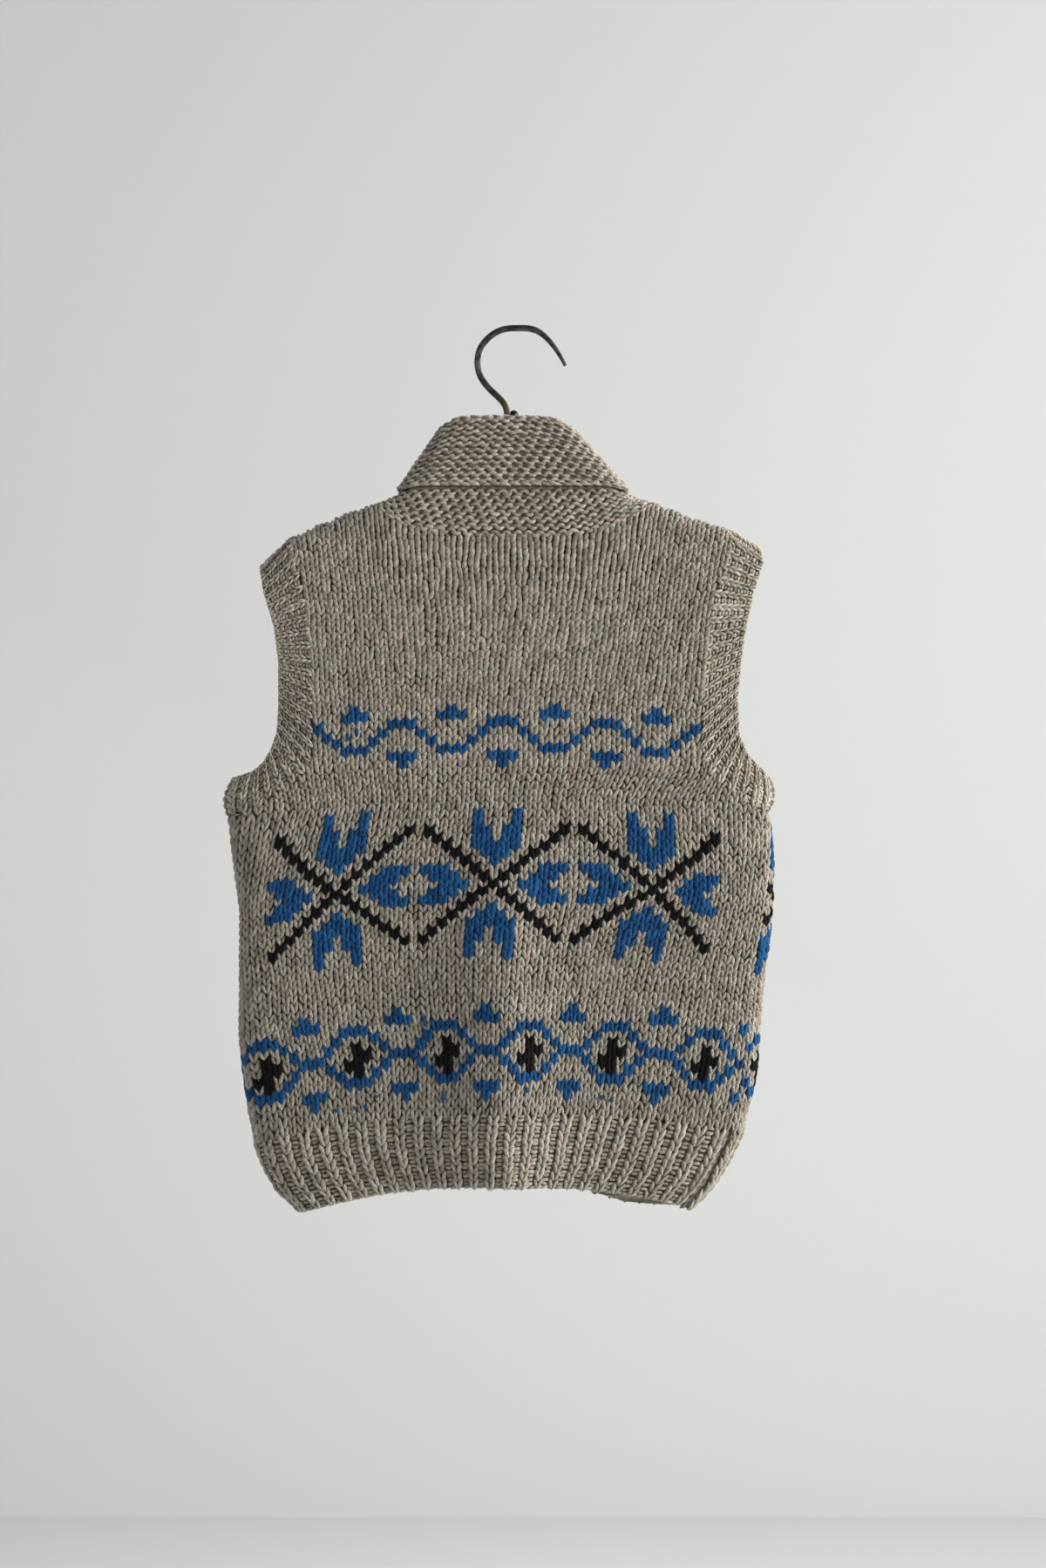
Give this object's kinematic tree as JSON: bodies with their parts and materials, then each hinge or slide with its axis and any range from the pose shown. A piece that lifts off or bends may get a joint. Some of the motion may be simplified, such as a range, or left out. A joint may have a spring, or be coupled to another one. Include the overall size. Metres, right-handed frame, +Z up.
{
  "type": "sweater vest on hanger",
  "caption": "Hand-knit pullover vest with a folded garter-stitch shawl collar, ribbed armholes and hem, hanging flat on a forged iron hanger.",
  "frame": {"origin": "inner top of the hanger's hook, where it rests on its pin", "axes": "+Z up; the vest's back faces -Y and its front +Y; +X to the right as the back is looked at"},
  "size_m": [0.4547, 0.0717, 0.7336],
  "materials": {
    "oatmeal_yarn": "bulky heathered wool, stockinette, with blue and black colourwork",
    "oatmeal_rib_yarn": "bulky heathered wool, rib and garter stitch",
    "blackened_iron": "dark worn forged iron"
  },
  "bodies": {
    "root": {"back": "oatmeal_yarn", "front": "oatmeal_yarn", "back_hem_rib": "oatmeal_rib_yarn", "front_hem_rib": "oatmeal_rib_yarn", "armhole_band_left": "oatmeal_rib_yarn", "armhole_band_right": "oatmeal_rib_yarn", "collar": "oatmeal_rib_yarn", "hanger_arms": "blackened_iron", "hanger_knuckle": "blackened_iron", "hanger_hook": "blackened_iron"}
  },
  "joints": []
}
